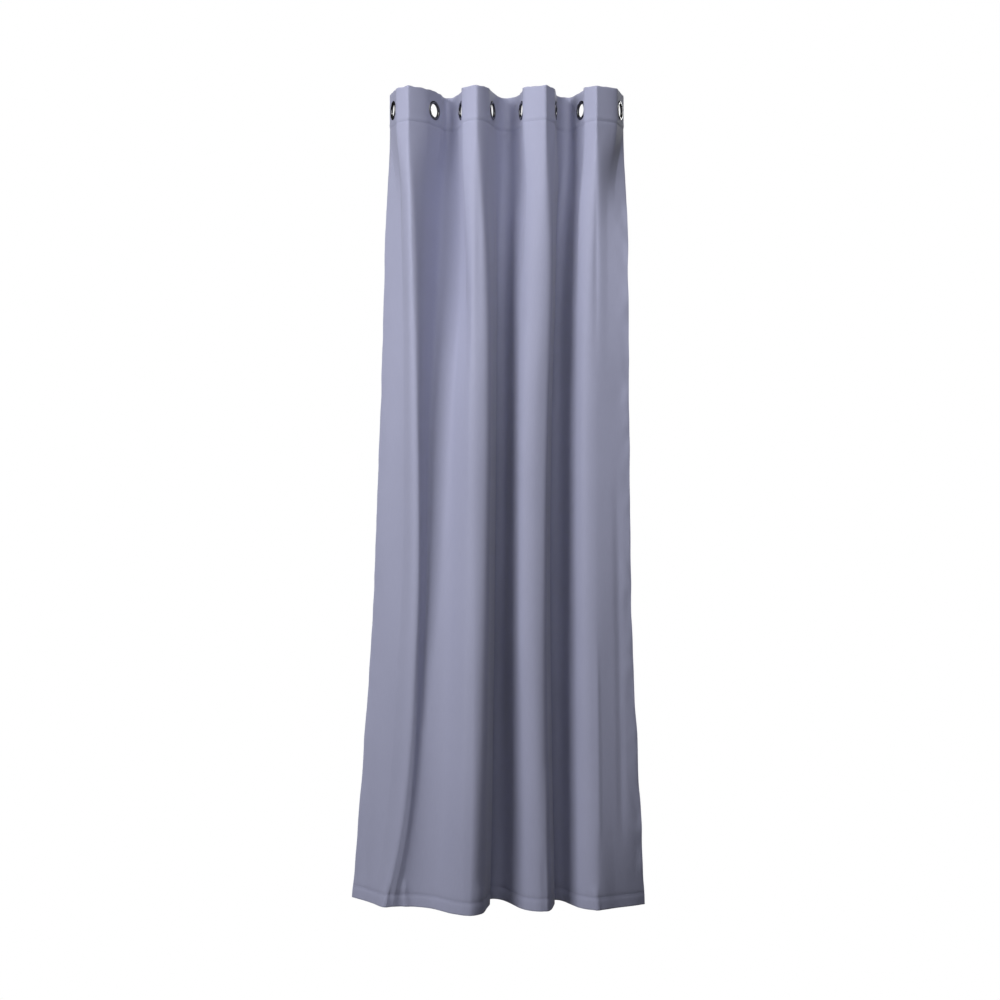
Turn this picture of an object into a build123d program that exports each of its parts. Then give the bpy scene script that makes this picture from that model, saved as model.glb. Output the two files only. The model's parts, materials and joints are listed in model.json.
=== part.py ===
"""Eyelet curtain panel: one width of dim-out cloth with a stiffened heading and eight metal eyelets.

Frame: millimetres, +Z up, X along the rod, -Y towards the room. The origin is midway between the
first and the last eyelet, on the line through the eyelets' centres.

The cloth hangs in seven folds. It passes each eyelet on a straight web, steeply across the rod, and
turns round in a crest between two eyelets: in front of the rod after the odd eyelets and behind it
after the even ones. The cloth is cut into eight strips, one for each eyelet. A strip is the web at
its eyelet and the crest that follows. A crest ends just short of the next web, always in front of
or behind everything on that web, so the strips can slide along the rod without meeting.
"""

import os
from dataclasses import dataclass
from math import radians, tan

from build123d import *

# Size of the finished panel
PANEL_LENGTH = 2450.0
HEADING_DEPTH = 105.0
EYELET_DROP = 57.0  # from the top edge down to the eyelets' centres
HEM_DEPTH = 40.0
SIDE_MARGIN = 43.0  # how far the cloth goes back beyond the centre of an end eyelet
SIDE_HEM = 20.0

# Cloth, stiffener and thread
CLOTH = 0.8
STIFFENER = 0.5
HEADING_PACK = 2.4  # two layers of cloth with the stiffener between them
HEM_PACK = 1.8
THREAD = 0.3
SEAM_INSET = 3.0  # a seam's distance from the edge of the layer that it holds down
EASE = 0.05  # air between two pieces that touch

# Eyelets
BORE_RADIUS = 20.0
BARREL_RADIUS = 21.2
FLANGE_RADIUS = 28.5
FRONT_FLANGE = 2.6
BACK_FLANGE = 1.8
FLANGE_ROUND = 0.8

# How a strip's section is drawn
BUTT_GAP = 1.8  # between the end of a crest and the web that it runs up to
CREST_POINTS = 10

# Care label, sewn to the reverse of the right-hand corner of the hem
LABEL_WIDTH = 35.0
LABEL_HEIGHT = 28.0
LABEL_THICKNESS = 0.4
LABEL_ABOVE_BOTTOM = 5.0

TOP = EYELET_DROP
SEAM = TOP - HEADING_DEPTH
BOTTOM = TOP - PANEL_LENGTH
HEM_TOP = BOTTOM + HEM_DEPTH


@dataclass
class Folds:
    """The folds at one height: where and how steeply the webs cross the rod's line, and the crests."""

    web_x: list
    web_angle: list  # degrees between a web and the rod
    web_reach: float  # how far a web runs before and behind the rod's line
    crest_depth: list  # from the rod's line to the middle of each crest
    left_edge: float  # how far behind the rod's line the side edges hang
    right_edge: float


AT_HEADING = Folds(
    web_x=[-341.0, -219.0, -136.0, -43.5, 46.0, 147.5, 225.5, 341.0],
    web_angle=[72, 58, 75, 75, 77, 84, 66, 71],
    web_reach=35.0,
    crest_depth=[66, 75, 73, 76, 73, 76, 68],
    left_edge=SIDE_MARGIN,
    right_edge=SIDE_MARGIN,
)
AT_HEM = Folds(
    web_x=[-408.0, -335.0, -245.0, -73.0, 17.0, 144.0, 219.0, 356.0],
    web_angle=[56, 66, 55, 77, 66, 70, 70, 60],
    web_reach=12.0,
    crest_depth=[50, 30, 138, 48, 80, 33, 60],
    left_edge=72.0,
    right_edge=64.0,
)
STRIPS = len(AT_HEADING.web_x)


def side_of(number):
    """The crests of odd strips hang in front of the rod, on the -Y side; the even ones behind it."""
    return -1 if number % 2 == 1 else 1


def web_point(folds, number, y):
    """The point of a web's straight line at that depth."""
    run = y * side_of(number) / tan(radians(folds.web_angle[number - 1]))
    return (folds.web_x[number - 1] + run, y)


def web_edge(folds, number, beyond=0):
    """The middle of the cloth over a web, in plan, from the left-hand end to the right-hand one."""
    start = -side_of(number) * (folds.web_reach + beyond)
    end = side_of(number) * folds.web_reach
    if number == 1:
        start = folds.left_edge + beyond
    if number == STRIPS:
        end = folds.right_edge + beyond
    with BuildLine() as web:
        Line(web_point(folds, number, start), web_point(folds, number, end))
    return web.edge()


def crest_edge(folds, number, beyond=0):
    """The middle of the cloth round the crest after a web, in plan."""
    side = side_of(number)
    start = folds.web_reach
    end = folds.web_reach + BUTT_GAP - beyond
    # Both handles at this depth put the middle of the curve at the crest's depth.
    handle = (8 * folds.crest_depth[number - 1] - start - end) / 6
    with BuildLine() as crest:
        Bezier(
            web_point(folds, number, side * start),
            web_point(folds, number, side * handle),
            web_point(folds, number + 1, side * handle),
            web_point(folds, number + 1, side * end),
        )
    return crest.edge()


def beside(edge, share, distance):
    """A point at a share of an edge's length and off to the cloth's face side by a distance."""
    point = edge @ share
    along = edge % share
    return (point.X + distance * along.Y, point.Y - distance * along.X)


def strip_section(folds, number, thickness, z, beyond=0):
    """One strip's section at a height: a straight web and a curved crest of even thickness."""
    web = web_edge(folds, number, beyond)
    crest = crest_edge(folds, number, beyond) if number < STRIPS else None
    last = crest or web
    shares = [i / CREST_POINTS for i in range(CREST_POINTS + 1)]
    face = thickness / 2
    with BuildSketch(Plane.XY.offset(z)) as section:
        with BuildLine():
            for distance in (face, -face):
                Line(beside(web, 0, distance), beside(web, 1, distance))
                if crest:
                    points = [beside(crest, share, distance) for share in shares]
                    Spline(*points, tangents=[crest % 0, crest % 1])
            Line(beside(web, 0, face), beside(web, 0, -face))
            Line(beside(last, 1, face), beside(last, 1, -face))
        make_face()
    return section.sketch


def eyelet_axis(number):
    """The bore's axis, square to the web and pointing to the face side of the cloth."""
    along = web_edge(AT_HEADING, number) % 0.5
    return Axis((AT_HEADING.web_x[number - 1], 0, 0), (along.Y, -along.X, 0))


def profile_plane(number):
    """The plane for an eyelet's profile: local X is the radius and local Y runs along the bore."""
    axis = eyelet_axis(number)
    up = Vector(0, 0, 1)
    return Plane(origin=axis.position, x_dir=up, z_dir=up.cross(axis.direction))


def barrel_hole(number, radius):
    """A short cylinder along the bore, to cut from the layers of the heading."""
    axis = eyelet_axis(number)
    with BuildPart(Plane(origin=axis.position, z_dir=axis.direction)) as hole:
        Cylinder(radius, 4 * HEADING_PACK)
    return hole.part


def side_hem_section(folds, number, z):
    """The doubled cloth along a side edge."""
    web = web_edge(folds, number)
    share = SIDE_HEM / web.length
    start, end = (0, share) if number == 1 else (1 - share, 1)
    face = HEM_PACK / 2
    with BuildSketch(Plane.XY.offset(z)) as section:
        with BuildLine():
            Polyline(
                beside(web, start, face),
                beside(web, end, face),
                beside(web, end, -face),
                beside(web, start, -face),
                close=True,
            )
        make_face()
    return section.sketch


def make_heading(number):
    """The stiffened top of the cloth: folded over at its upper edge, with the stiffener's pocket inside."""
    hole = barrel_hole(number, BARREL_RADIUS + EASE)
    with BuildPart() as heading:
        add(strip_section(AT_HEADING, number, HEADING_PACK, SEAM))
        extrude(amount=HEADING_DEPTH)
        add(strip_section(AT_HEADING, number, STIFFENER + 2 * EASE, SEAM + SEAM_INSET - EASE))
        extrude(amount=HEADING_DEPTH - SEAM_INSET - CLOTH + 2 * EASE, mode=Mode.SUBTRACT)
        add(hole, mode=Mode.SUBTRACT)
    return heading.part


def make_drop(number):
    """The cloth below the heading: a single layer, turned up at the foot and doubled at the side edges."""
    with BuildPart() as drop:
        add(strip_section(AT_HEADING, number, CLOTH, SEAM))
        add(strip_section(AT_HEM, number, CLOTH, HEM_TOP))
        loft(ruled=True)
        add(strip_section(AT_HEM, number, HEM_PACK, BOTTOM))
        extrude(amount=HEM_DEPTH)
        if number in (1, STRIPS):
            add(side_hem_section(AT_HEADING, number, SEAM))
            add(side_hem_section(AT_HEM, number, HEM_TOP))
            loft(ruled=True)
    return drop.part


def make_stiffener(number):
    """The stiff non-woven strip inside the heading."""
    hole = barrel_hole(number, BARREL_RADIUS + EASE)
    with BuildPart() as stiffener:
        add(strip_section(AT_HEADING, number, STIFFENER, SEAM + SEAM_INSET))
        extrude(amount=HEADING_DEPTH - SEAM_INSET - CLOTH)
        add(hole, mode=Mode.SUBTRACT)
    return stiffener.part


def make_thread(folds, number, pack, z):
    """A seam's thread: it runs along the face of its layers and back along their reverse."""
    with BuildPart() as thread:
        add(strip_section(folds, number, pack + 2 * EASE + 2 * THREAD, z, THREAD))
        extrude(amount=2 * THREAD)
        add(strip_section(folds, number, pack + 2 * EASE, z))
        extrude(amount=2 * THREAD, mode=Mode.SUBTRACT)
    return thread.part


def flange_ring(number, bore, inner_face, outer_face):
    """A flat ring round the bore between two positions along its axis, rounded where it is seen."""
    with BuildPart() as ring:
        with BuildSketch(profile_plane(number)) as profile:
            with BuildLine():
                Polyline(
                    (bore, inner_face),
                    (FLANGE_RADIUS, inner_face),
                    (FLANGE_RADIUS, outer_face),
                    (bore, outer_face),
                    close=True,
                )
            make_face()
            outward = 1 if outer_face > inner_face else -1
            seen = profile.vertices().sort_by(Axis.Y)[:: outward][2:]
            fillet(seen, FLANGE_ROUND)
        revolve(axis=eyelet_axis(number))
    return ring.part


def make_face_ring(number):
    """The ring on the face side, with the barrel that goes through the heading."""
    face = HEADING_PACK / 2 + EASE
    tail = -face - EASE - BACK_FLANGE
    with BuildPart() as ring:
        add(flange_ring(number, BORE_RADIUS, face, face + FRONT_FLANGE))
        with BuildSketch(profile_plane(number)):
            with BuildLine():
                Polyline(
                    (BORE_RADIUS, tail),
                    (BARREL_RADIUS, tail),
                    (BARREL_RADIUS, face + FRONT_FLANGE / 2),
                    (BORE_RADIUS, face + FRONT_FLANGE / 2),
                    close=True,
                )
            make_face()
        revolve(axis=eyelet_axis(number))
    return ring.part


def make_back_ring(number):
    """The ring on the reverse, held by the end of the barrel."""
    back = -HEADING_PACK / 2 - EASE
    return flange_ring(number, BARREL_RADIUS + EASE, back, back - BACK_FLANGE)


def make_care_label():
    """A small blank label on the reverse of the hem at its right-hand corner."""
    web = web_edge(AT_HEM, STRIPS)
    back = -HEM_PACK / 2 - EASE
    start, end = (1 - LABEL_WIDTH / web.length, 1)
    with BuildPart() as label:
        with BuildSketch(Plane.XY.offset(BOTTOM + LABEL_ABOVE_BOTTOM)):
            with BuildLine():
                Polyline(
                    beside(web, start, back),
                    beside(web, end, back),
                    beside(web, end, back - LABEL_THICKNESS),
                    beside(web, start, back - LABEL_THICKNESS),
                    close=True,
                )
            make_face()
        extrude(amount=LABEL_HEIGHT)
    return label.part


def save(part, label):
    part.label = label
    export_step(part, f"parts/{label}.step")


os.makedirs("parts", exist_ok=True)
for strip in range(1, STRIPS + 1):
    save(make_heading(strip), f"heading_{strip}")
    save(make_drop(strip), f"drop_{strip}")
    save(make_stiffener(strip), f"stiffener_{strip}")
    save(make_thread(AT_HEADING, strip, HEADING_PACK, SEAM + SEAM_INSET / 2), f"heading_seam_{strip}")
    save(make_thread(AT_HEM, strip, HEM_PACK, HEM_TOP - SEAM_INSET), f"hem_seam_{strip}")
    save(make_face_ring(strip), f"eyelet_{strip}")
    save(make_back_ring(strip), f"eyelet_back_{strip}")
save(make_care_label(), "care_label")
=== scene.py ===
import json
from math import cos, pi, radians, sin

import bmesh
import bpy
import numpy as np
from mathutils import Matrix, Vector, noise


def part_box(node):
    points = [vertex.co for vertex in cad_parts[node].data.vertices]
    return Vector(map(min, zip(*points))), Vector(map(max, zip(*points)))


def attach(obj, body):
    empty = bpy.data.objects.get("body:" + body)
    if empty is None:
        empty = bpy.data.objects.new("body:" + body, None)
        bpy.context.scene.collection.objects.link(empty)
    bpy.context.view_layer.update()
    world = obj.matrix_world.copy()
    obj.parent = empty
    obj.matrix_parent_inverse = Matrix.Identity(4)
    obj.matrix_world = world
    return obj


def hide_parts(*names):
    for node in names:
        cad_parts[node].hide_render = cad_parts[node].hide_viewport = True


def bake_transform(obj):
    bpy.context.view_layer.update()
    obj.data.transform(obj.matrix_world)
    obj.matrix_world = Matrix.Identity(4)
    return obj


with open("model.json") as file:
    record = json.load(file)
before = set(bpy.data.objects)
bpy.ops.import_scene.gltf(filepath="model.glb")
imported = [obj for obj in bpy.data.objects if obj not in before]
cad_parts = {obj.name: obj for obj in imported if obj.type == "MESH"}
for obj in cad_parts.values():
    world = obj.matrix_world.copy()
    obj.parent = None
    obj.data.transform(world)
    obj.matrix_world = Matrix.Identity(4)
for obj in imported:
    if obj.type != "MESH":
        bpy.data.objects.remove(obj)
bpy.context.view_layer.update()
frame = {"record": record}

# ---- The cloth ----------------------------------------------------------------------------------
# One width of dim-out cloth, hemmed to 1.4 m by 2.45 m. It is folded over a stiff heading at the top
# and turned up at the foot. It passes each eyelet on a straight web, square to the eyelet, and turns
# round between two eyelets in a fold before the rod or behind it.

FULL_WIDTH = 1.40
SINGLE = 0.0008  # thickness of one layer
HEADING_PACK = 0.0024  # two layers with the stiffener between them
HEM_PACK = 0.0018
SIDE_HEM = 0.020
HEM_DEPTH = 0.040
WEB_REACH = 0.030  # half of the straight run of cloth through an eyelet
EDGE_TURNS = 0.004  # width taken up by the rounds at the two side edges

top_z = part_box("heading_1")[1][2]
seam_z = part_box("heading_1")[0][2]
foot_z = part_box("drop_1")[0][2]
heading_depth = top_z - seam_z
full_length = top_z - foot_z
hem_fall = full_length - HEM_DEPTH
bores = [mount for mount in frame["record"]["mounts"] if mount["name"].startswith("eyelet")]
eyelets = [Vector(bore["pos_m"]) for bore in bores]
bore_axes = [Vector(bore["axis"]) for bore in bores]
bore_radius = bores[0]["dims"]["r_mm"] / 1000
flange_radius = (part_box("eyelet_1")[1][2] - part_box("eyelet_1")[0][2]) / 2
COUNT = len(eyelets)

# Where the cloth turns, in plan, at six falls, which are distances below the top edge: the left-hand
# edge, the seven turns and the right-hand edge. Folds in front of the rod have negative Y. The second
# front fold swings forward as it falls, and the valley on its left runs out.
TURN_FALLS = [0.105, 0.39, 0.93, 1.66, 2.29, 2.45]
TURNS = [
    [(-.355, .043), (-.294, -.070), (-.178, .0765), (-.090, -.077), (.001, .0765), (.117, -.076),
     (.186, .0765), (.267, -.074), (.356, .043)],
    [(-.368, .045), (-.282, -.078), (-.188, .062), (-.086, -.082), (-.014, .074), (.114, -.082),
     (.164, .074), (.267, -.076), (.361, -.045)],
    [(-.383, .050), (-.267, -.080), (-.222, -.010), (-.088, -.102), (-.021, .068), (.090, -.088),
     (.149, .066), (.266, -.076), (.364, -.066)],
    [(-.415, .060), (-.270, -.074), (-.241, -.044), (-.093, -.130), (-.029, .060), (.084, -.096),
     (.143, .052), (.266, -.080), (.375, -.060)],
    [(-.460, .068), (-.325, -.060), (-.280, -.048), (-.102, -.142), (-.038, .052), (.102, -.097),
     (.146, .040), (.270, -.081), (.407, -.034)],
    [(-.472, .070), (-.361, -.051), (-.310, -.040), (-.108, -.144), (-.041, .048), (.106, -.098),
     (.146, .036), (.274, -.082), (.414, -.014)],
]
# Which way the cloth comes to each turn and leaves it, in degrees back from straight across
LEAN_FALLS = [0.105, 0.21, 0.93, 2.45]
LEANS = [
    [(-34, 24), (0, 0), (-22, 20), (0, 0), (-12, 56), (0, 0), (-36, 34)],
    [(-2, 16), (0, 0), (0, 2), (0, 0), (-8, 30), (0, 0), (-3, 3)],
    [(4, 14), (0, 0), (-4, 2), (0, 0), (-4, 10), (0, 0), (0, 4)],
    [(4, 12), (4, 4), (-12, 8), (0, 0), (-4, 8), (0, 0), (-2, 10)],
]
# How far each turn carries those directions, from 0.5 for a crease to 1.6 for a box corner
SQUARE_FALLS = [0.105, 0.5, 2.45]
SQUARES = [
    [(.6, .7), (.95, .95), (.85, .85), (.95, .95), (.95, .7), (.95, .95), (.55, .5)],
    [(.8, .9), (1.1, 1.1), (1.2, 1.5), (1.15, 1.1), (1.3, 1.6), (1.1, 1.0), (1.2, .9)],
    [(.7, .7), (.8, .8), (.9, 1.1), (1.1, 1.0), (1.1, 1.3), (1.1, 1.0), (1.0, .8)],
]
# How far the cloth of a front fold hangs out to the left, over the eyelet beside it
OVERHANG = [.003, 0, .010, 0, .010, 0, .010]
# How far each web stands to the right of the middle between its two turns, below the heading, and
# the fall from which it no longer follows its eyelet
WEB_SHIFTS = [0, 0, .016, .018, -.012, .014, -.012, 0]
FREE_AT = [.32, .34, .36, .34, .36, .34, .36, .32]


def smooth_step(low, high, value):
    """From 0 at the low value to 1 at the high one, level at both."""
    t = np.clip((np.asarray(value, float) - low) / (high - low), 0, 1)
    return t * t * (3 - 2 * t)


def glide(falls, values, fall):
    """A smooth curve through values given at a few falls, level before the first."""
    falls, values = np.array(falls), np.array(values, float)
    slope = np.zeros_like(values)
    steps = np.diff(falls).reshape(-1, *[1] * (values.ndim - 1))
    rises = np.diff(values, axis=0) / steps
    slope[1:-1] = (rises[:-1] * steps[1:] + rises[1:] * steps[:-1]) / (steps[:-1] + steps[1:])
    slope[-1] = rises[-1]
    fall = max(fall, falls[0])
    i = min(int(np.searchsorted(falls, fall, side="right")) - 1, len(falls) - 2)
    h = falls[i + 1] - falls[i]
    t = (fall - falls[i]) / h
    return (
        values[i] * (1 + 2 * t) * (1 - t) ** 2
        + slope[i] * h * t * (1 - t) ** 2
        + values[i + 1] * t * t * (3 - 2 * t)
        - slope[i + 1] * h * t * t * (1 - t)
    )


# Mesh points along a web, and along each half of a turn
WEB_STEPS = 10
TURN_STEPS = 12
STEEPER = 1.9  # a free web stands steeper than the line between its two turns


def web_directions(turns, fall):
    """Along each web in plan: square to the bore in the heading, and as the folds ask lower down."""
    chords = np.diff(turns, axis=0)
    free = chords * [1.0, STEEPER]
    free[[0, -1]] = chords[[0, -1]]
    free /= np.linalg.norm(free, axis=1)[:, None]
    held = np.array([(-a.y, a.x) for a in bore_axes])
    share = smooth_step(heading_depth, np.array(FREE_AT) + 0.05, fall)[:, None]
    mixed = held * (1 - share) + free * share
    return mixed / np.linalg.norm(mixed, axis=1)[:, None]


def section(fall, depth_gain):
    """The cloth's line in plan at a distance below the top edge, as an array of points."""
    turns = glide(TURN_FALLS, TURNS, fall).copy()
    turns[:, 1] *= depth_gain

    # The middle of each web: on its eyelet in the heading, and between its two turns lower down
    webs = (turns[:-1] + turns[1:]) / 2
    webs[:, 0] += np.array(WEB_SHIFTS) * smooth_step(0.15, 0.7, fall)
    held = np.array([(e.x, e.y) for e in eyelets])
    share = smooth_step(heading_depth, np.array(FREE_AT), fall)
    webs = held * (1 - share[:, None]) + webs * share[:, None]
    along = web_directions(turns, fall)
    lengths = np.linalg.norm(np.diff(turns, axis=0), axis=1)
    reach = WEB_REACH * (1 - share) + np.minimum(0.12 * lengths, WEB_REACH) * share
    square = glide(SQUARE_FALLS, SQUARES, fall)
    leans = np.radians(glide(LEAN_FALLS, LEANS, fall))
    bearing = np.stack([np.cos(leans), np.sin(leans)], axis=2)

    points = []

    def run(a, b, steps, a_pull=None, b_pull=None, overhang=0.0):
        """Points from a to b: straight, or curved by a pull along the cloth at each end."""
        t = np.arange(steps)[:, None] / steps
        if a_pull is None:
            points.extend(a + (b - a) * t)
            return
        points.extend(
            a * (1 + 2 * t) * (1 - t) ** 2 + a_pull * t * (1 - t) ** 2
            + b * t * t * (3 - 2 * t) - b_pull * t * t * (1 - t)
            - [overhang, 0] * np.sin(pi * np.sqrt(t)) ** 2
        )

    # From each turn to the next: half a turn, the straight web, and half the turn after it. The two
    # side margins run on plainly from the end webs.
    for i in range(COUNT):
        start = webs[i] - along[i] * reach[i]
        end = webs[i] + along[i] * reach[i]
        before, after = turns[i], turns[i + 1]
        size = np.linalg.norm(start - before)
        if i == 0:
            run(before, start, TURN_STEPS, along[0] * size, start - before)
        else:
            pull = size * square[i - 1][1]
            run(before, start, TURN_STEPS, bearing[i - 1][1] * pull, along[i] * pull)
        run(start, end, WEB_STEPS)
        size = np.linalg.norm(after - end)
        if i == COUNT - 1:
            run(end, after, TURN_STEPS, after - end, after - end)
        else:
            pull = size * square[i][0]
            overhang = OVERHANG[i] * (1 - smooth_step(0.25, 0.75, fall))
            run(end, after, TURN_STEPS, along[i] * pull, bearing[i][0] * pull, overhang)
    points.append(turns[-1])
    return np.array(points)


def line_length(points):
    """How much cloth a line in plan takes up."""
    return np.linalg.norm(np.diff(points, axis=0), axis=1).sum()


def full_width_section(fall):
    """The section with its folds as deep as the cloth's width makes them, below the heading."""
    if fall <= heading_depth:
        return section(fall, 1.0)
    shallow, deep = 0.9, 1.2
    for _ in range(12):
        gain = (shallow + deep) / 2
        if line_length(section(fall, gain)) < FULL_WIDTH - EDGE_TURNS:
            shallow = gain
        else:
            deep = gain
    share = smooth_step(heading_depth, 0.30, fall)
    return section(fall, 1 - share + gain * share)


# Rows of the cloth, from the folded top edge to the foot, closer together in the heading and the hem
rows = np.concatenate([
    [0.0, HEADING_PACK / 2],
    np.linspace(0.006, heading_depth - 0.003, 20),
    [heading_depth - 0.0015, heading_depth, heading_depth + 0.0015],
    np.linspace(heading_depth + 0.008, hem_fall - 0.006, 190),
    [hem_fall - 0.001, hem_fall + 0.001, hem_fall + 0.004],
    np.linspace(hem_fall + 0.010, full_length - 0.005, 5),
    [full_length - HEM_PACK / 2, full_length],
])
plan = np.array([full_width_section(fall) for fall in rows])
sheet_points = np.dstack([plan, np.broadcast_to((top_z - rows)[:, None], plan.shape[:2])])
# Each point's place on the flat cloth: how far it is across from the left-hand edge, and down
steps_across = np.linalg.norm(np.diff(plan, axis=1), axis=2)
across = np.concatenate([np.zeros((len(rows), 1)), np.cumsum(steps_across, axis=1)], axis=1)
down = np.broadcast_to(rows[:, None], across.shape).copy()
SECTION_COLUMNS = 2 * TURN_STEPS + WEB_STEPS
seam_columns = [i * SECTION_COLUMNS + TURN_STEPS + WEB_STEPS // 2 for i in range(COUNT)]


def face_normals(points):
    """Unit normals on the side of the cloth that faces the room."""
    normals = np.cross(np.gradient(points, axis=0), np.gradient(points, axis=1))
    return normals / np.linalg.norm(normals, axis=2)[:, :, None]


# Long creases: the X of the upper and the lower end, the falls of both, the half-width and the height
CREASES = [
    (-.272, -.244, 0.19, 0.66, .008, -.0016),
    (-.232, -.228, 0.35, 0.85, .007, .0016),
    (-.250, -.242, 1.15, 1.95, .008, -.0025),
    (-.395, -.430, 1.30, 2.45, .020, -.0022),
    (-.120, -.128, 1.50, 2.45, .012, .0022),
    (.268, .276, 1.62, 2.28, .006, .0016),
    (.116, .120, 1.95, 2.45, .007, .0030),
    (.325, .345, 1.10, 2.30, .012, -.0024),
    (.004, .004, 0.05, 0.15, .005, .0018),
    (-.352, -.344, 2.38, 2.45, .010, -.0030),
    (-.306, -.300, 2.36, 2.45, .009, .0045),
    (-.082, -.070, 2.35, 2.45, .009, .0060),
    (.108, .112, 2.26, 2.45, .007, -.0024),
    (.262, .270, 2.37, 2.45, .008, .0050),
]
# Soft waves that the cloth keeps from being folded and handled
WAVE = 0.0026
SIDE_RIPPLE = 0.0034  # puckers beside the side hems
EDGE_SWAY = 0.0035  # how far a side edge wanders to the left and right
TOP_WAVE = 0.0035  # unevenness of the folded top edge


def unevenness(scale_across, scale_down, seed):
    """Smooth chance values over the flat cloth, at so many lumps to a metre."""
    return np.array([
        [noise.noise(Vector((u * scale_across, v * scale_down, seed))) for u, v in zip(u_row, v_row)]
        for u_row, v_row in zip(across, down)
    ])


def beside_edge(distance, width):
    """1 at a side edge, fading out over a width."""
    return np.exp(-((distance / width) ** 2))


normals = face_normals(sheet_points)
facing = np.clip(-normals[:, :, 1], 0, 1)
free_fall = smooth_step(heading_depth + 0.01, heading_depth + 0.35, down)
from_right = across[:, -1:] - across
lift = WAVE * (unevenness(7.0, 1.3, 0.0) + 0.5 * unevenness(16.0, 3.1, 5.0)) * free_fall
lift += SIDE_RIPPLE * unevenness(30.0, 17.0, 9.0) * free_fall * (
    beside_edge(from_right, 0.026) + 0.5 * beside_edge(across, 0.024)
)
for x_high, x_low, high, low, width, height in CREASES:
    x = np.interp(down, [high, low], [x_high, x_low])
    if low >= full_length:
        window = smooth_step(high, high + 0.4 * (low - high), down)
    else:
        window = smooth_step(high, high + 0.25 * (low - high), down)
        window *= 1 - smooth_step(low - 0.15 * (low - high), low, down)
    lift += height * window * facing * np.exp(-(((sheet_points[:, :, 0] - x) / width) ** 2))
sheet_points += normals * lift[:, :, None]
edge_sway = EDGE_SWAY * np.array([noise.noise(Vector((0.0, fall * 8.0, 21.0))) for fall in rows])
sheet_points[:, :, 0] += edge_sway[:, None] * free_fall * (
    beside_edge(from_right, 0.05) - 0.6 * beside_edge(across, 0.05)
)
top_waves = np.array([
    noise.noise(Vector((u * 15.0, 0.0, 3.0))) + 0.6 * noise.noise(Vector((u * 48.0, 0.0, 6.0)))
    for u in across[0]
])
sheet_points[:, :, 2] += TOP_WAVE * top_waves * np.exp(-((down / 0.022) ** 2))
normals = face_normals(sheet_points)

# The hole for each eyelet's barrel: cells over it are left out and the rim is drawn to a circle.
HOLE_RADIUS = bore_radius + 0.0014
RIM_RADIUS = HOLE_RADIUS + 0.0003
open_cells = np.zeros((len(rows) - 1, sheet_points.shape[1] - 1), bool)
for centre in eyelets:
    away = sheet_points - np.array(centre)
    distance = np.linalg.norm(away, axis=2)
    inside = distance < HOLE_RADIUS
    cells = inside[:-1, :-1] | inside[1:, :-1] | inside[:-1, 1:] | inside[1:, 1:]
    open_cells |= cells
    touched = np.zeros_like(inside)
    touched[:-1, :-1] |= cells
    touched[1:, :-1] |= cells
    touched[:-1, 1:] |= cells
    touched[1:, 1:] |= cells
    rim = touched & ~inside
    pull = RIM_RADIUS / distance[rim]
    middle_u = across[np.unravel_index(np.argmin(distance), distance.shape)]
    sheet_points[rim] = np.array(centre) + away[rim] * pull[:, None]
    across[rim] = middle_u + (across[rim] - middle_u) * pull
    down[rim] = top_z - sheet_points[rim][:, 2]

# How far the two faces of the cloth stand from its middle: the heading is stiffened and doubled, and
# the hem and the side hems are doubled. Both seams draw the face in, and the heading puffs out a
# little above its own.
SEAM_PULL = 0.0012
SEAM_PUFF = 0.0006
HEM_PULL = 0.0011
HEM_LEDGE = 0.0005


def along_seam(fall, width):
    """1 along a level line on the cloth, fading out over a width."""
    return np.exp(-(((down - fall) / width) ** 2))


from_side = np.minimum(across, across[:, -1:] - across)
in_heading = 1 - smooth_step(heading_depth - 0.002, heading_depth + 0.012, down)
face_stand = SINGLE / 2 + (HEADING_PACK - SINGLE) / 2 * in_heading
face_stand -= SEAM_PULL * along_seam(heading_depth - 0.0015, 0.0035)
face_stand += SEAM_PUFF * along_seam(heading_depth - 0.0110, 0.0060)
face_stand += HEM_LEDGE * smooth_step(hem_fall, hem_fall + 0.5 * HEM_DEPTH, down)
face_stand -= HEM_PULL * along_seam(hem_fall + 0.003, 0.0045)
back_stand = np.where(down <= heading_depth + 1e-6, HEADING_PACK / 2, SINGLE / 2)
hem = (down > hem_fall) | (from_side < SIDE_HEM)
back_stand = np.where(hem & (down > heading_depth), HEM_PACK - SINGLE / 2, back_stand)
# The cloth is thinner along its four edges, which rounds them.
EDGE_SHARE = 0.35
edge_round = np.ones_like(down)
edge_round[[0, -1], :] = EDGE_SHARE
edge_round[:, [0, -1]] = EDGE_SHARE
face_stand *= edge_round
back_stand *= edge_round


def stand_off(stand):
    """The cloth's middle surface, moved along its normals."""
    return sheet_points + normals * np.asarray(stand)[:, :, None]


def smooth_faces(mesh):
    """Shades a mesh as a smooth surface."""
    mesh.polygons.foreach_set("use_smooth", np.ones(len(mesh.polygons), bool))


def put_in_scene(name, mesh):
    """A new object with that mesh."""
    thing = bpy.data.objects.new(name, mesh)
    bpy.context.scene.collection.objects.link(thing)
    return thing


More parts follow.
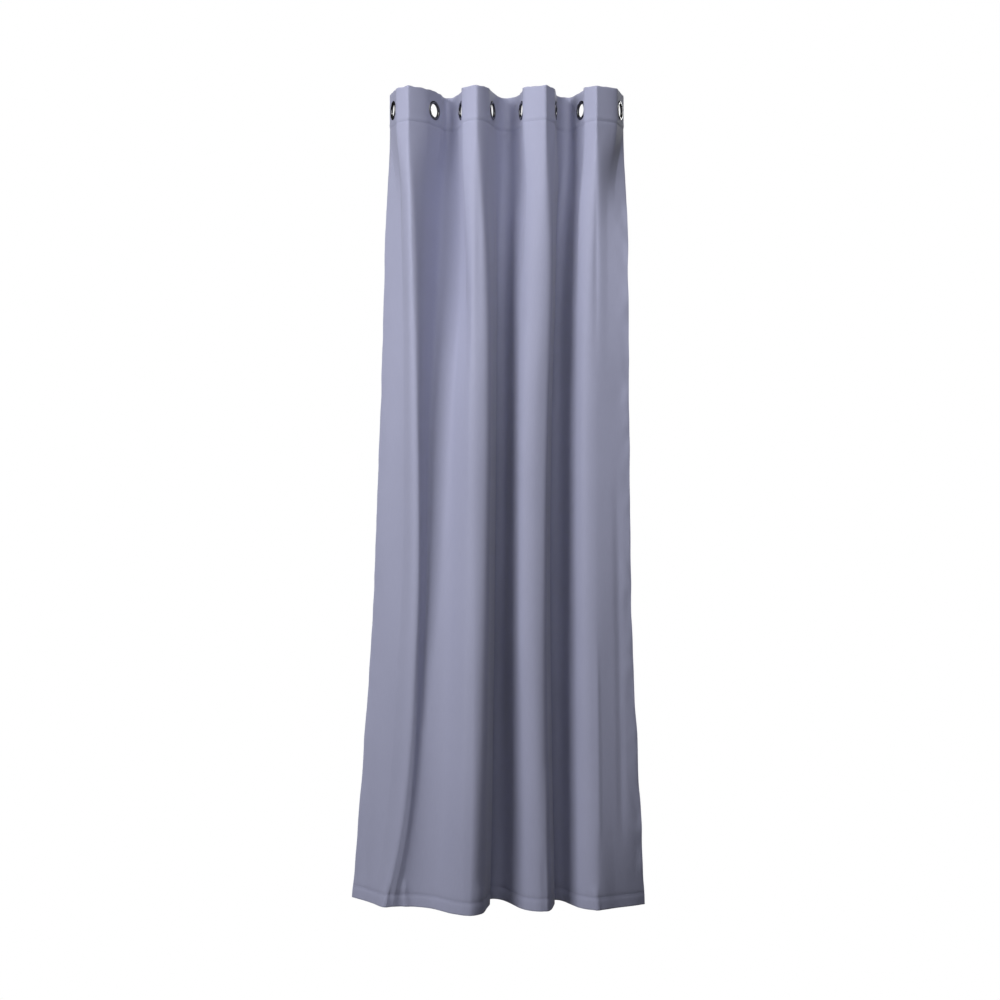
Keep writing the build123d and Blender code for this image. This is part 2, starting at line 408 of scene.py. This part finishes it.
def shell(name, columns, row_span, face_points, back_points):
    """A closed sheet between two faces, over a range of columns and rows of the cloth's grid."""
    left, right = columns
    upper, lower = row_span
    window = (slice(upper, lower + 1), slice(left, right + 1))
    shape = (lower - upper + 1, right - left + 1)
    index = np.arange(shape[0] * shape[1]).reshape(shape)
    keep = ~open_cells[upper:lower, left:right]
    corners = [index[:-1, :-1], index[1:, :-1], index[1:, 1:], index[:-1, 1:]]
    quads = np.stack(corners, axis=-1)[keep]
    used = np.unique(quads)
    renumber = np.full(index.size, -1)
    renumber[used] = np.arange(len(used))
    quads = renumber[quads]
    count = len(used)
    face = face_points[window].reshape(-1, 3)[used]
    back = back_points[window].reshape(-1, 3)[used]
    flat = np.dstack([across, full_length - down])[window].reshape(-1, 2)[used]
    # A side that only one quad has is on the border, where a strip of faces joins face and back.
    sides = np.concatenate([quads[:, [0, 1]], quads[:, [1, 2]], quads[:, [2, 3]], quads[:, [3, 0]]])
    key = np.sort(sides, axis=1)
    _, first, times = np.unique(key, axis=0, return_index=True, return_counts=True)
    border = sides[first[times == 1]]
    a, b = border.T
    rims = np.stack([b, a, a + count, b + count], axis=-1)
    faces = np.concatenate([quads, quads[:, ::-1] + count, rims])
    mesh = bpy.data.meshes.new(name)
    mesh.from_pydata(np.concatenate([face, back]).tolist(), [], faces.tolist())
    uv = mesh.uv_layers.new(name="flat_cloth")
    corner = np.zeros(len(mesh.loops), int)
    mesh.loops.foreach_get("vertex_index", corner)
    uv.data.foreach_set("uv", np.concatenate([flat, flat])[corner].astype(np.float32).ravel())
    smooth_faces(mesh)
    rim_edges = {tuple(sorted(pair)) for pair in border}
    rim_edges |= {tuple(sorted(pair + count)) for pair in border}
    sharp = mesh.attributes.new("sharp_edge", "BOOLEAN", "EDGE")
    ends = np.zeros(2 * len(mesh.edges), int)
    mesh.edges.foreach_get("vertices", ends)
    ends = np.sort(ends.reshape(-1, 2), axis=1)
    sharp.data.foreach_set("value", np.array([tuple(pair) in rim_edges for pair in ends]))
    mesh.update()
    return put_in_scene(name, mesh)


def piece_columns(piece):
    """The cloth is parted at the middle of each web, and the outer parts keep the side edges."""
    left = 0 if piece == 0 else seam_columns[piece]
    right = sheet_points.shape[1] - 1 if piece == COUNT - 2 else seam_columns[piece + 1]
    return left, right


AIR = 0.001  # kept clear beside each ring's flange when the room between two rings is found
BLEND_SLOPES = np.linspace(-0.09, 0.09, 37)  # how far out of upright its planes may lean


def draw_with(thing, piece):
    """Bakes a part of the cloth's placing into its mesh.

    It also finds the two leaning planes that leave the most room between everything on the left-hand
    ring and web and everything on the right-hand ones, but nothing uses them.
    """
    left = np.array(sheet_points[:, seam_columns[piece]])
    right = np.array(sheet_points[:, seam_columns[piece + 1]])
    left_ring = np.array(eyelets[piece]) + [flange_radius * abs(bore_axes[piece].y) + AIR, 0, 0]
    right_ring = np.array(eyelets[piece + 1]) - [flange_radius * abs(bore_axes[piece + 1].y) + AIR, 0, 0]
    left = left_ring[None] if piece == 0 else np.vstack([left, left_ring])
    right = right_ring[None] if piece == COUNT - 2 else np.vstack([right, right_ring])
    most_room = -1
    for slope in BLEND_SLOPES:
        axis = np.array([1, 0, slope]) / np.hypot(1, slope)
        start = (left @ axis).max()
        end = (right @ axis).min()
        if end - start > most_room:
            most_room = end - start
    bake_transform(thing)


cloth_face = stand_off(face_stand)
cloth_back = stand_off(-back_stand)
cloth_pieces = []
for piece in range(COUNT - 1):
    left, right = piece_columns(piece)
    cloth = shell(f"cloth_{piece + 1}", (left, right), (0, len(rows) - 1), cloth_face, cloth_back)
    cloth_pieces.append(cloth)
    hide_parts(f"heading_{piece + 1}", f"drop_{piece + 1}")
    width = float((across[:, right] - across[:, left]).mean())
    draw_with(cloth, piece)
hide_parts(f"heading_{COUNT}", f"drop_{COUNT}")


def weave_group():
    """Plain weave of fine yarns: the height of the yarns and a faint streakiness in their colour."""
    group = bpy.data.node_groups.new("plain weave", "ShaderNodeTree")
    group.interface.new_socket("Pitch", in_out="INPUT", socket_type="NodeSocketFloat")
    group.interface.new_socket("Height", in_out="OUTPUT", socket_type="NodeSocketFloat")
    group.interface.new_socket("Slub", in_out="OUTPUT", socket_type="NodeSocketFloat")
    n, link = group.nodes, group.links
    inputs, outputs = n.new("NodeGroupInput"), n.new("NodeGroupOutput")
    place = n.new("ShaderNodeUVMap")
    place.uv_map = "flat_cloth"
    scaled = n.new("ShaderNodeVectorMath")
    scaled.operation = "SCALE"
    per_metre = n.new("ShaderNodeMath")
    per_metre.operation = "DIVIDE"
    per_metre.inputs[0].default_value = 1.0
    link.new(inputs.outputs["Pitch"], per_metre.inputs[1])
    link.new(place.outputs["UV"], scaled.inputs[0])
    link.new(per_metre.outputs[0], scaled.inputs["Scale"])
    yarns = []
    for direction in ("X", "Y"):
        wave = n.new("ShaderNodeTexWave")
        wave.bands_direction = direction
        wave.inputs["Scale"].default_value = 0.314  # one yarn to a pitch
        wave.inputs["Distortion"].default_value = 0.6
        wave.inputs["Detail"].default_value = 1.0
        link.new(scaled.outputs[0], wave.inputs["Vector"])
        yarns.append(wave)
    crossed = n.new("ShaderNodeMath")
    crossed.operation = "MULTIPLY"
    link.new(yarns[0].outputs["Fac"], crossed.inputs[0])
    link.new(yarns[1].outputs["Fac"], crossed.inputs[1])
    link.new(crossed.outputs[0], outputs.inputs["Height"])
    stretch = n.new("ShaderNodeMapping")
    stretch.inputs["Scale"].default_value = (900, 28, 1)
    link.new(place.outputs["UV"], stretch.inputs["Vector"])
    slub = n.new("ShaderNodeTexNoise")
    slub.inputs["Scale"].default_value = 1.0
    slub.inputs["Detail"].default_value = 2.0
    link.new(stretch.outputs[0], slub.inputs["Vector"])
    link.new(slub.outputs["Fac"], outputs.inputs["Slub"])
    return group


weave = weave_group()


def cloth_material(name, light, dark, pitch, rough, sheen):
    """A woven or fibrous stuff, with its yarns' pitch in metres and its dye a little uneven."""
    material = bpy.data.materials.new(name)
    material.use_nodes = True
    n, link = material.node_tree.nodes, material.node_tree.links
    shader = n["Principled BSDF"]
    shader.inputs["Roughness"].default_value = rough
    shader.inputs["Sheen Weight"].default_value = sheen
    shader.inputs["Sheen Roughness"].default_value = 0.4
    shader.inputs["Specular IOR Level"].default_value = 0.35
    cloth = n.new("ShaderNodeGroup")
    cloth.node_tree = weave
    cloth.inputs["Pitch"].default_value = pitch
    patch = n.new("ShaderNodeTexNoise")
    patch.inputs["Scale"].default_value = 2.2
    patch.inputs["Detail"].default_value = 3.0
    coordinates = n.new("ShaderNodeTexCoord")
    link.new(coordinates.outputs["Object"], patch.inputs["Vector"])
    mixed = n.new("ShaderNodeMath")
    mixed.operation = "MULTIPLY_ADD"
    mixed.inputs[1].default_value = 0.55
    link.new(patch.outputs["Fac"], mixed.inputs[0])
    streak = n.new("ShaderNodeMath")
    streak.operation = "MULTIPLY"
    streak.inputs[1].default_value = 0.45
    link.new(cloth.outputs["Slub"], streak.inputs[0])
    link.new(streak.outputs[0], mixed.inputs[2])
    ramp = n.new("ShaderNodeValToRGB")
    ramp.color_ramp.elements[0].position = 0.3
    ramp.color_ramp.elements[0].color = (*dark, 1)
    ramp.color_ramp.elements[1].position = 0.7
    ramp.color_ramp.elements[1].color = (*light, 1)
    link.new(mixed.outputs[0], ramp.inputs["Fac"])
    link.new(ramp.outputs["Color"], shader.inputs["Base Color"])
    bump = n.new("ShaderNodeBump")
    bump.inputs["Strength"].default_value = 0.35
    bump.inputs["Distance"].default_value = 0.0002
    link.new(cloth.outputs["Height"], bump.inputs["Height"])
    link.new(bump.outputs["Normal"], shader.inputs["Normal"])
    return material


LAVENDER = (.378, .389, .535)
DEEP_LAVENDER = (.332, .342, .476)
lavender = cloth_material("lavender dim-out", LAVENDER, DEEP_LAVENDER, 0.0005, 0.68, 0.25)
for cloth in cloth_pieces:
    cloth.data.materials.append(lavender)

# ---- The stiffener ------------------------------------------------------------------------------
# A strip of stiff bonded non-woven, closed in between the two layers of the heading and held by its
# seam and the eyelets. It makes the cloth stand in even turns, and it isn't seen.

STIFFENER = 0.0005
FIRST_STIFF_ROW = 2  # the first row below the folded edge
last_stiff_row = int(np.searchsorted(rows, heading_depth - 0.003))
paper_white = cloth_material("bonded non-woven", (.80, .80, .78), (.74, .74, .72), 0.0009, 0.9, 0.0)
stiffener_face = stand_off(np.full_like(down, STIFFENER / 2))
stiffener_back = stand_off(np.full_like(down, -STIFFENER / 2))
stiff_rows = (FIRST_STIFF_ROW, last_stiff_row)
for piece in range(COUNT - 1):
    left, right = piece_columns(piece)
    name = f"heading_stiffener_{piece + 1}"
    strip = shell(name, (left, right), stiff_rows, stiffener_face, stiffener_back)
    strip.data.materials.append(paper_white)
    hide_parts(f"stiffener_{piece + 1}")
    width = float(across[0, right] - across[0, left])
    draw_with(strip, piece)
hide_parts(f"stiffener_{COUNT}")

# ---- The seams ----------------------------------------------------------------------------------
# Lockstitch in spun polyester to match the cloth: one row along the foot of the heading and one along
# the top of the hem. Each stitch rises from the cloth, lies along it and goes down again.

STITCH = 0.0032  # from one stitch to the next
STITCH_GAP = 0.0007
THREAD_RADIUS = 0.00017
THREAD_SIDES = 5
HEADING_SEAM = heading_depth - 0.0015  # the falls of the two seams
HEM_SEAM = hem_fall + 0.004
# A stitch's shape: how far along it each ring of the thread is, and how far out of the cloth
ALONG_STITCH = np.array([0, 0.18, 0.5, 0.82, 1])
RISE = np.array([-1.2, 0.5, 0.9, 0.5, -1.2]) * THREAD_RADIUS
thread_cloth = cloth_material("sewing thread", (.35, .36, .50), (.30, .31, .44), 0.0002, 0.55, 0.1)


def stitch_row(fall, left, right, stand):
    """Stitches on one face of the cloth along a level seam, between two columns."""
    row = int(np.argmin(abs(rows - fall)))
    u, line, outward = across[row], sheet_points[row], normals[row]
    upward = np.array([0, 0, 1.0])
    side = 1 if stand >= 0 else -1
    verts, faces = [], []
    for number in range(int(np.ceil(u[left] / STITCH)), int(np.floor(u[right] / STITCH))):
        at = number * STITCH + (STITCH - STITCH_GAP) * ALONG_STITCH
        place = np.array([np.interp(at, u, line[:, axis]) for axis in range(3)]).T
        out = np.array([np.interp(at, u, outward[:, axis]) for axis in range(3)]).T
        place += out * (stand + side * RISE)[:, None]
        base = len(verts)
        for middle, away in zip(place, out):
            for turn in range(THREAD_SIDES):
                angle = 2 * pi * turn / THREAD_SIDES
                verts.append(middle + THREAD_RADIUS * (cos(angle) * away + sin(angle) * upward))
        for ring in range(len(RISE) - 1):
            for turn in range(THREAD_SIDES):
                a = base + THREAD_SIDES * ring + turn
                b = base + THREAD_SIDES * ring + (turn + 1) % THREAD_SIDES
                next_a, next_b = a + THREAD_SIDES, b + THREAD_SIDES
                faces.append((a, next_a, next_b, b) if side > 0 else (a, b, next_b, next_a))
    return verts, faces


def seam_stitches(name, fall, left, right, face_stand, back_stand):
    """The needle thread's stitches on the face and the bobbin thread's on the reverse."""
    verts, faces = stitch_row(fall, left, right, face_stand)
    back_verts, back_faces = stitch_row(fall, left, right, back_stand)
    faces += [tuple(corner + len(verts) for corner in face) for face in back_faces]
    mesh = bpy.data.meshes.new(name)
    mesh.from_pydata([tuple(vert) for vert in verts + back_verts], [], faces)
    smooth_faces(mesh)
    # The map is left empty, so a thread has no weave of its own.
    mesh.uv_layers.new(name="flat_cloth")
    mesh.materials.append(thread_cloth)
    return put_in_scene(name, mesh)


# Each seam's fall, and how far its two rows lie from the cloth's middle
seams = {
    "heading": (HEADING_SEAM, SINGLE / 2 - 0.0002, -HEADING_PACK / 2),
    "hem": (HEM_SEAM, SINGLE / 2 - 0.0003, -(HEM_PACK - SINGLE / 2)),
}
for seam, (fall, on_face, on_back) in seams.items():
    for piece in range(COUNT - 1):
        left, right = piece_columns(piece)
        name = f"{seam}_stitches_{piece + 1}"
        stitches = seam_stitches(name, fall, left, right, on_face, on_back)
        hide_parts(f"{seam}_seam_{piece + 1}")
        draw_with(stitches, piece)
    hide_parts(f"{seam}_seam_{COUNT}")

# ---- The eyelets --------------------------------------------------------------------------------
# Pressed brass, plated in polished black nickel. The face ring has a domed flange and a barrel that
# goes through the heading and is rolled over the back ring.

FACE_CROWN = 0.00385  # heights along the bore, from the middle of the cloth
ROLL_END = -0.0031
CLOTH_FACE = HEADING_PACK / 2 + 0.00005
BARREL_WALL = 0.0012
ROLL = 0.0005
SEGMENTS = 96
SHARPEST = radians(50)  # steeper edges than this stay crisp
half_flange = (flange_radius - bore_radius) / 2
half_back = 0.9 * half_flange

# The face ring's profile as radius and height: the flange's outer edge, its dome, the bore down to
# the rolled end, and the barrel's outside
dome_foot = CLOTH_FACE + 0.0006
face_profile = [(flange_radius - 0.0006, CLOTH_FACE), (flange_radius, CLOTH_FACE + ROLL)]
face_profile += [
    (flange_radius - half_flange + half_flange * cos(a), dome_foot + (FACE_CROWN - dome_foot) * sin(a))
    for a in np.linspace(0.15, pi - 0.25, 14)
]
face_profile += [(bore_radius, CLOTH_FACE + ROLL), (bore_radius, 0), (bore_radius, ROLL_END + ROLL)]
face_profile += [
    (bore_radius + BARREL_WALL / 2 * (1 - cos(a)), ROLL_END + ROLL * (1 - sin(a)))
    for a in np.linspace(0.4, pi, 6)
]
face_profile += [(bore_radius + BARREL_WALL, CLOTH_FACE)]

# The back ring's: a flat washer with a shallow dome, round the barrel
washer_bore = bore_radius + BARREL_WALL + 0.00005
back_profile = [(washer_bore, -CLOTH_FACE), (washer_bore, -CLOTH_FACE - 0.0011)]
back_profile += [
    (flange_radius - half_back - half_back * cos(a), -CLOTH_FACE - 0.0008 - 0.0009 * sin(a))
    for a in np.linspace(0.3, pi - 0.1, 12)
]
back_profile += [(flange_radius, -CLOTH_FACE - 0.0004), (flange_radius - 0.0005, -CLOTH_FACE)]


def nickel_material():
    """Polished black nickel: a dark mirror with finger smears and very fine scratches."""
    material = bpy.data.materials.new("black nickel")
    material.use_nodes = True
    n, link = material.node_tree.nodes, material.node_tree.links
    shader = n["Principled BSDF"]
    shader.inputs["Metallic"].default_value = 1.0
    place = n.new("ShaderNodeTexCoord")
    smear = n.new("ShaderNodeTexNoise")
    smear.inputs["Scale"].default_value = 90.0
    smear.inputs["Detail"].default_value = 4.0
    link.new(place.outputs["Object"], smear.inputs["Vector"])
    rough = n.new("ShaderNodeMapRange")
    rough.inputs["To Min"].default_value = 0.07
    rough.inputs["To Max"].default_value = 0.24
    link.new(smear.outputs["Fac"], rough.inputs["Value"])
    link.new(rough.outputs["Result"], shader.inputs["Roughness"])
    tone = n.new("ShaderNodeValToRGB")
    tone.color_ramp.elements[0].color = (.15, .15, .155, 1)
    tone.color_ramp.elements[1].color = (.23, .225, .22, 1)
    link.new(smear.outputs["Fac"], tone.inputs["Fac"])
    link.new(tone.outputs["Color"], shader.inputs["Base Color"])
    scratch = n.new("ShaderNodeTexNoise")
    scratch.inputs["Scale"].default_value = 900.0
    scratch.inputs["Detail"].default_value = 2.0
    link.new(place.outputs["Object"], scratch.inputs["Vector"])
    bump = n.new("ShaderNodeBump")
    bump.inputs["Strength"].default_value = 0.05
    bump.inputs["Distance"].default_value = 0.0001
    link.new(scratch.outputs["Fac"], bump.inputs["Height"])
    link.new(bump.outputs["Normal"], shader.inputs["Normal"])
    return material


def turned_ring(name, profile, centre, axis, body, node):
    """A ring turned from its profile round the bore's axis, riding on its strip of the cloth."""
    upright = Vector((0, 0, 1))
    sideways = upright.cross(axis).normalized()
    count = len(profile)
    verts = [
        centre + axis * height + radius * (upright * cos(angle) + sideways * sin(angle))
        for angle in np.linspace(0, 2 * pi, SEGMENTS, endpoint=False)
        for radius, height in profile
    ]
    faces = []
    for segment in range(SEGMENTS):
        here = segment * count
        beyond = (segment + 1) % SEGMENTS * count
        for i in range(count):
            j = (i + 1) % count
            faces.append((here + i, beyond + i, beyond + j, here + j))
    mesh = bpy.data.meshes.new(name)
    mesh.from_pydata([tuple(vert) for vert in verts], [], faces)
    smooth_faces(mesh)
    shaper = bmesh.new()
    shaper.from_mesh(mesh)
    bmesh.ops.recalc_face_normals(shaper, faces=shaper.faces)
    for edge in shaper.edges:
        edge.smooth = edge.calc_face_angle(0) < SHARPEST
    shaper.to_mesh(mesh)
    shaper.free()
    mesh.materials.append(nickel)
    ring = put_in_scene(name, mesh)
    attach(ring, body)
    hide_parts(node)


nickel = nickel_material()
for number, (centre, axis) in enumerate(zip(eyelets, bore_axes), start=1):
    body = f"strip_{number}"
    turned_ring(f"face_ring_{number}", face_profile, centre, axis, body, f"eyelet_{number}")
    turned_ring(f"back_ring_{number}", back_profile, centre, axis, body, f"eyelet_back_{number}")

# ---- The care label -----------------------------------------------------------------------------
# A small tab of white satin for the washing instructions, left blank here. It is sewn flat to the
# reverse of the hem at its right-hand corner, and its middle stands off the cloth a little.

LABEL_WIDTH, LABEL_HEIGHT = 0.035, 0.028
LABEL_THICK = 0.0004
LABEL_CURL = 0.0004  # how far its middle stands off the cloth
LABEL_ROWS, LABEL_COLUMNS = 7, 12
lowest_fall = full_length - 0.005
outer_u = float(across[-1, -1]) - 0.003
label_verts, label_faces, label_flat = [], [], []


def label_point(layer, i, j):
    """The number of a point of the label: its layer, its row from the foot and its column."""
    return (layer * (LABEL_ROWS + 1) + i) * (LABEL_COLUMNS + 1) + j


for layer in range(2):
    for i in range(LABEL_ROWS + 1):
        fall = lowest_fall - LABEL_HEIGHT * i / LABEL_ROWS
        row = int(np.argmin(abs(rows - fall)))
        for j in range(LABEL_COLUMNS + 1):
            u = outer_u - LABEL_WIDTH * j / LABEL_COLUMNS
            place = np.array([np.interp(u, across[row], cloth_back[row][:, axis]) for axis in range(3)])
            out = np.array([np.interp(u, across[row], normals[row][:, axis]) for axis in range(3)])
            place[2] = top_z - fall
            curl = LABEL_CURL * sin(pi * j / LABEL_COLUMNS) * sin(pi * i / LABEL_ROWS)
            label_verts.append(tuple(place - out * (0.0001 + layer * LABEL_THICK + curl)))
            label_flat.append((u, fall))
    for i in range(LABEL_ROWS):
        for j in range(LABEL_COLUMNS):
            low = (label_point(layer, i, j), label_point(layer, i, j + 1))
            high = (label_point(layer, i + 1, j + 1), label_point(layer, i + 1, j))
            quad = low + high
            label_faces.append(quad if layer else quad[::-1])
border = [label_point(0, 0, j) for j in range(LABEL_COLUMNS)]
border += [label_point(0, i, LABEL_COLUMNS) for i in range(LABEL_ROWS)]
border += [label_point(0, LABEL_ROWS, j) for j in range(LABEL_COLUMNS, 0, -1)]
border += [label_point(0, i, 0) for i in range(LABEL_ROWS, 0, -1)]
outer = label_point(1, 0, 0)
label_faces += [(a, b, b + outer, a + outer) for a, b in zip(border, border[1:] + border[:1])]
label_mesh = bpy.data.meshes.new("care_label_satin")
label_mesh.from_pydata(label_verts, [], label_faces)
smooth_faces(label_mesh)
label_uv = label_mesh.uv_layers.new(name="flat_cloth")
for loop in label_mesh.loops:
    label_uv.data[loop.index].uv = label_flat[loop.vertex_index]
satin = cloth_material("label satin", (.84, .84, .82), (.78, .78, .76), 0.0003, 0.45, 0.3)
label_mesh.materials.append(satin)
label = put_in_scene("care_label_satin", label_mesh)
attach(label, f"strip_{COUNT}")
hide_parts("care_label")

# ---- Stage, light and camera --------------------------------------------------------------------
# A studio that the camera sees as white, over a dark floor that keeps the folds' hollows deep. A large
# soft light stands at the left, weaker ones above and low in front, and one behind. The camera looks
# straight at the curtain from its middle height.

CAMERA_DISTANCE = 4.7
CAMERA_SHIFT = Vector((-0.020, 0, -0.008))
FRAME_WIDTH = 3.02  # how much it sees at the rod's distance
FLOOR_HALF = 9
middle_z = (top_z + foot_z) / 2



def white_to_camera(nodes, links, lit, unlit, output):
    """Shows one shader to the camera, and lets another one light the curtain."""
    path = nodes.new("ShaderNodeLightPath")
    choose = nodes.new("ShaderNodeMixShader")
    links.new(path.outputs["Is Camera Ray"], choose.inputs[0])
    links.new(lit.outputs[0], choose.inputs[1])
    links.new(unlit.outputs[0], choose.inputs[2])
    links.new(choose.outputs[0], output.inputs["Surface"])


floor_z = foot_z - 0.03
corners = [(-1, -1), (1, -1), (1, 1), (-1, 1)]
floor = bpy.data.meshes.new("studio_floor")
floor.from_pydata([(x * FLOOR_HALF, y * FLOOR_HALF, floor_z) for x, y in corners], [], [(0, 1, 2, 3)])
put_in_scene("studio_floor", floor)
paper = bpy.data.materials.new("studio paper")
paper.use_nodes = True
nodes, links = paper.node_tree.nodes, paper.node_tree.links
matt = nodes["Principled BSDF"]
matt.inputs["Base Color"].default_value = (0.05, 0.05, 0.05, 1)
matt.inputs["Roughness"].default_value = 0.9
glow = nodes.new("ShaderNodeEmission")
glow.inputs["Strength"].default_value = 1.0
white_to_camera(nodes, links, matt, glow, nodes["Material Output"])
floor.materials.append(paper)


def soft_light(name, place, target, side, power):
    """A square panel of light, turned towards a point."""
    data = bpy.data.lights.new(name, "AREA")
    data.shape = "RECTANGLE"
    data.size, data.size_y = side, side
    data.energy = power
    light = bpy.data.objects.new(name, data)
    light.location = place
    light.rotation_euler = (Vector(target) - Vector(place)).to_track_quat("-Z", "Y").to_euler()
    bpy.context.scene.collection.objects.link(light)


soft_light("key", (-2.9, -2.5, 0.5), (0, 0, -0.9), 2.0, 138)
soft_light("low fill", (-0.9, -4.5, -1.2), (0, 0, -1.4), 1.0, 18)
soft_light("fill", (0.4, -1.9, 1.5), (0, 0, -0.4), 1.4, 34)
soft_light("back light", (1.6, 4.2, 0.6), (0, 0, -0.9), 2.0, 90)

world = bpy.data.worlds.new("studio")
world.use_nodes = True
nodes, links = world.node_tree.nodes, world.node_tree.links
nodes["Background"].inputs["Color"].default_value = (1, 1, 1, 1)
nodes["Background"].inputs["Strength"].default_value = 0.035
backdrop = nodes.new("ShaderNodeBackground")
backdrop.inputs["Color"].default_value = (1, 1, 1, 1)
backdrop.inputs["Strength"].default_value = 1.0
white_to_camera(nodes, links, nodes["Background"], backdrop, nodes["World Output"])
bpy.context.scene.world = world

lens = bpy.data.cameras.new("camera")
lens.sensor_width = 36
lens.lens = 36 * CAMERA_DISTANCE / FRAME_WIDTH
camera = bpy.data.objects.new("camera", lens)
camera.location = Vector((0, -CAMERA_DISTANCE, middle_z)) + CAMERA_SHIFT
camera.rotation_euler = (pi / 2, 0, 0)
bpy.context.scene.collection.objects.link(camera)
bpy.context.scene.camera = camera
bpy.context.scene.view_settings.view_transform = "Standard"
